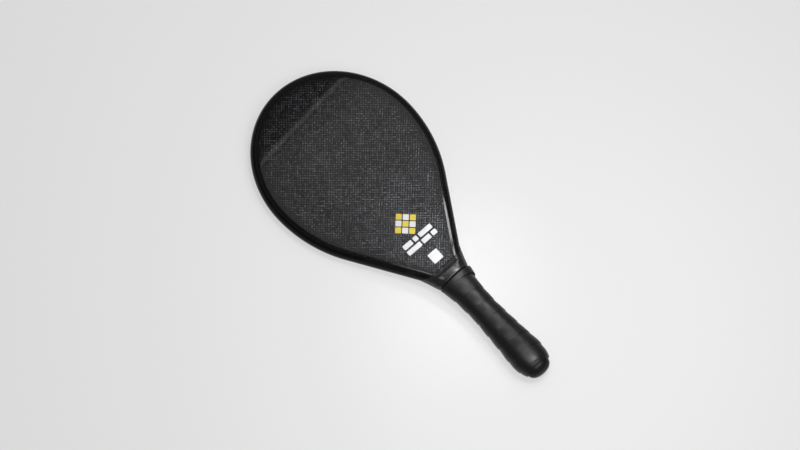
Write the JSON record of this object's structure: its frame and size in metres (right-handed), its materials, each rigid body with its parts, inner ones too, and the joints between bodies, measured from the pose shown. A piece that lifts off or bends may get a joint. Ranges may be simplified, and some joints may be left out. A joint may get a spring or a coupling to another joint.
{
  "type": "frescobol paddle",
  "caption": "Teardrop beach paddle with woven carbon faces on a foam core, a round-edged tubular frame, a throat collar and a handle wound with cushioned tape.",
  "frame": {"origin": "on the surface that the paddle lies on, under the middle of its length and width", "axes": "+Z out of the front face, +Y along the paddle from the butt to the tip of the head, +X to the right as seen from the front with the tip up"},
  "size_m": [0.2074, 0.46, 0.0361],
  "materials": {
    "carbon_weave": "plain weave of dark grey carbon under a clear gloss coat",
    "black_lacquer": "black gloss lacquer on a round edge",
    "core_foam": "closed-cell foam",
    "edge_foam": "expanding foam fill",
    "spine_wood": "light plain timber",
    "shell_foam": "moulded rigid foam",
    "cushion": "soft cushion foam",
    "grip_tape": "smooth black tacky tape with a soft sheen",
    "collar_rubber": "glossy black moulded rubber",
    "cap_rubber": "satin black rubber"
  },
  "bodies": {
    "root": {"front_skin": "carbon_weave", "rear_skin": "carbon_weave", "head_core": "core_foam", "frame_tube": "black_lacquer", "frame_foam": "edge_foam", "handle_spine": "spine_wood", "handle_shell_front": "shell_foam", "handle_shell_rear": "shell_foam", "base_grip": "cushion", "overgrip": "grip_tape", "throat_collar": "collar_rubber", "butt_cap": "cap_rubber"}
  },
  "joints": []
}
